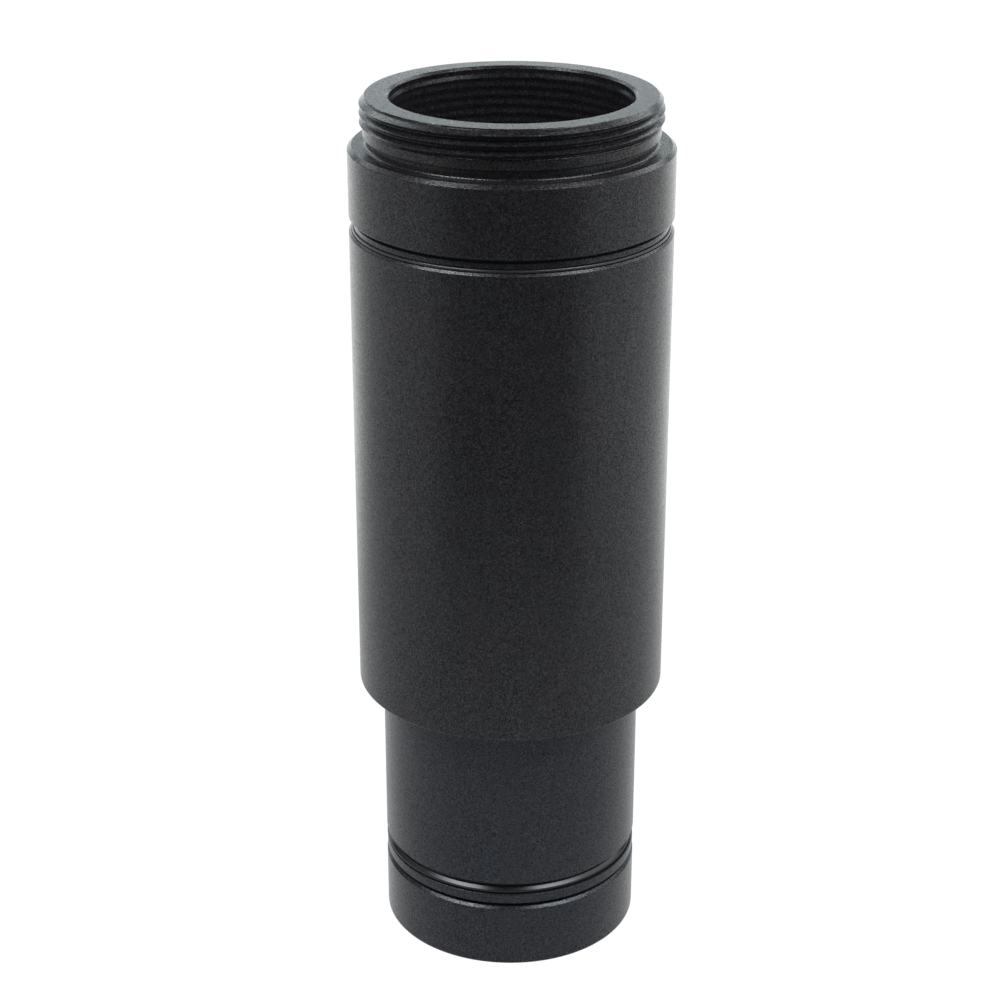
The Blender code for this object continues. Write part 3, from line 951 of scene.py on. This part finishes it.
def dome(rho, pole_z, bulge, count=28):
    """A spherical face from the axis out; bulge is 1 for up and -1 for down."""
    radii = (POLISHED_R * i / count for i in range(count + 1))
    return [(r, pole_z - bulge * sag(rho, r)) for r in radii]


def add_lens(glass, lower, upper):
    """A lens with two polished faces; its ground bevels and rim are inked black."""
    lower = lower + [(GLASS_R, lower[-1][1] + BEVEL_HEIGHT)]
    upper = upper + [(GLASS_R, upper[-1][1] - BEVEL_HEIGHT)]
    lens = on_axis(glass + "_lens_polished", upper, lower)
    coat(lens, glass, "edge_ink")
    for poly in lens.data.polygons:
        reach = math.hypot(poly.center.x, poly.center.y)
        poly.material_index = int(reach > (POLISHED_R + 0.02) * MM)
    mount(lens, "cell", glass + "_lens")


crown_top = CROWN.high - sag(CEMENT_RHO)
add_lens(
    "crown",
    lower=dome(LOWER_RHO, CROWN.low + sag(LOWER_RHO), bulge=1),
    upper=dome(CEMENT_RHO, crown_top, bulge=-1),
)
add_lens(
    "flint",
    lower=dome(CEMENT_RHO, crown_top + 0.02, bulge=-1),
    upper=dome(UPPER_RHO, FLINT.high - sag(UPPER_RHO), bulge=-1),
)

# ------------------------------------------------------------------ stage, light and camera
# the floor's glow by zone
FLOOR_NEAR = 1.0
FLOOR_LEFT, FLOOR_RIGHT, FLOOR_BEHIND, FLOOR_FRONT = 1.1, 1.3, 1.7, 0.27

# the tent's panels: light, azimuth (0 is +X, 90 is behind), half width, lowest and highest
# lift, soft edge (all in degrees) and strength; a half width of 180 goes all round
PANELS = (
    ("box", 208, 28, 45, 64, 5.0, 19.0),
    ("box", -33, 28, 46, 61.5, 5.0, 17.0),
    ("wall", 90, 46, 22, 50, 6.0, 4.0),
    ("wall", 90, 50, -5, 12.5, 3.0, 2.0),
    ("box", 0, 46, 20, 45, 6.0, 3.0),
    ("box", 180, 46, 20, 45, 6.0, 0.5),
    ("wall", -90, 46, 10, 45, 6.0, 0.1),
    ("wall", 0, 180, 70, 89.9, 6.0, 0.1),
)
LIGHT_COLOURS = {"box": (1.0, 1.0, 1.0), "wall": (0.90, 0.985, 1.0)}


def add_floor():
    """A pale floor: plain white to the camera, a soft zoned glow to everything else."""
    bpy.ops.mesh.primitive_circle_add(
        vertices=128, radius=1.6, fill_type="NGON", location=(0, 0, -0.00004)
    )
    floor = bpy.context.object
    floor.name = "floor"
    mat = bpy.data.materials.new("pale_floor")
    mat.use_nodes = True
    g = Graph(mat.node_tree)
    g.tree.nodes.clear()
    x, y, _ = g.split(g.coords())
    reach, cosine, sine = g.bearing(x, y)
    far = g.ramp(reach, low=0.055, high=0.135)
    front = g.ramp(g.math("MULTIPLY", sine, -1.0), low=0.45, high=0.85)
    behind = g.ramp(sine, low=0.45, high=0.85)

    def side(towards):
        rest = g.math("SUBTRACT", 1.0, g.math("ADD", front, behind))
        return g.math("MULTIPLY", g.ramp(towards, low=0.0, high=0.02), rest)

    zones = (
        (side(g.math("MULTIPLY", cosine, -1.0)), FLOOR_LEFT),
        (side(cosine), FLOOR_RIGHT),
        (behind, FLOOR_BEHIND),
        (front, FLOOR_FRONT),
    )
    parts = [g.math("MULTIPLY", g.math("SUBTRACT", 1.0, far), FLOOR_NEAR)]
    for zone, strength in zones:
        parts.append(g.math("MULTIPLY", g.math("MULTIPLY", zone, far), strength))
    glow = g.add("ShaderNodeEmission")
    g.fill(glow, {"Strength": g.total(parts), "Color": (0.985, 1.0, 1.0)})
    plain = g.add("ShaderNodeEmission")
    grain = g.noise(g.coords(), scale=900, detail=3.0, roughness=0.5)
    g.fill(plain, {"Strength": g.scaled(grain, gain=0.04, offset=1.0)})
    g.camera_choice(glow, plain, "ShaderNodeOutputMaterial")
    floor.data.materials.append(mat)


def add_tent():
    """The world: plain white to the camera, with panels that only other rays see."""
    world = bpy.data.worlds.new("soft_studio")
    bpy.context.scene.world = world
    world.use_nodes = True
    g = Graph(world.node_tree)
    g.tree.nodes.clear()
    x, y, z = g.split(g.coords("Generated"))
    _, cosine, sine = g.bearing(x, y)

    def panel(azimuth, half, lowest, highest, soft, strength):
        low, high, edge = (math.sin(math.radians(a)) for a in (lowest, highest, soft))
        above = g.ramp(z, low - edge / 2, low + edge / 2)
        below = g.math("SUBTRACT", 1.0, g.ramp(z, high - edge / 2, high + edge / 2))
        band = g.math("MULTIPLY", above, below)
        if half < 180:
            a = math.radians(azimuth)
            across = g.math("MULTIPLY", sine, math.sin(a))
            towards = g.math("MULTIPLY_ADD", cosine, math.cos(a), across)
            outer = math.cos(math.radians(half + soft))
            inner = math.cos(math.radians(max(0.0, half - soft)))
            band = g.math("MULTIPLY", band, g.ramp(towards, outer, inner))
        return g.math("MULTIPLY", band, strength)

    lights = {"box": [], "wall": []}
    for light, *shape in PANELS:
        lights[light].append(panel(*shape))
    tent = g.add("ShaderNodeAddShader")
    for socket, (light, panels) in zip(tent.inputs, lights.items()):
        source = g.add("ShaderNodeBackground")
        g.fill(source, {"Strength": g.total(panels), "Color": LIGHT_COLOURS[light]})
        g.feed(socket, source.outputs[0])
    white = g.fill(g.add("ShaderNodeBackground"), {"Color": (1.0, 1.0, 1.0)})
    g.camera_choice(tent, white, "ShaderNodeOutputWorld")


def add_camera():
    """The camera stands in front (-Y) and looks down on the lens."""
    scene = bpy.context.scene
    data = bpy.data.cameras.new("camera")
    camera = bpy.data.objects.new("camera", data)
    scene.collection.objects.link(camera)
    data.sensor_width = 36.0
    data.lens = 82.512
    data.clip_start, data.clip_end = 0.005, 20.0
    pitch, yaw, roll = (math.radians(a) for a in (23.20, 0.260, 0.035))
    camera.matrix_world = (
        Matrix.Translation((-0.00012, -0.18735, 0.12145))
        @ Matrix.Rotation(yaw, 4, "Z")
        @ Matrix.Rotation(math.pi / 2 - pitch, 4, "X")
        @ Matrix.Rotation(roll, 4, "Z")
    )
    scene.camera = camera
    scene.view_settings.view_transform = "Standard"
    scene.view_settings.look = "None"


add_floor()
add_tent()
add_camera()

bpy.context.view_layer.update()
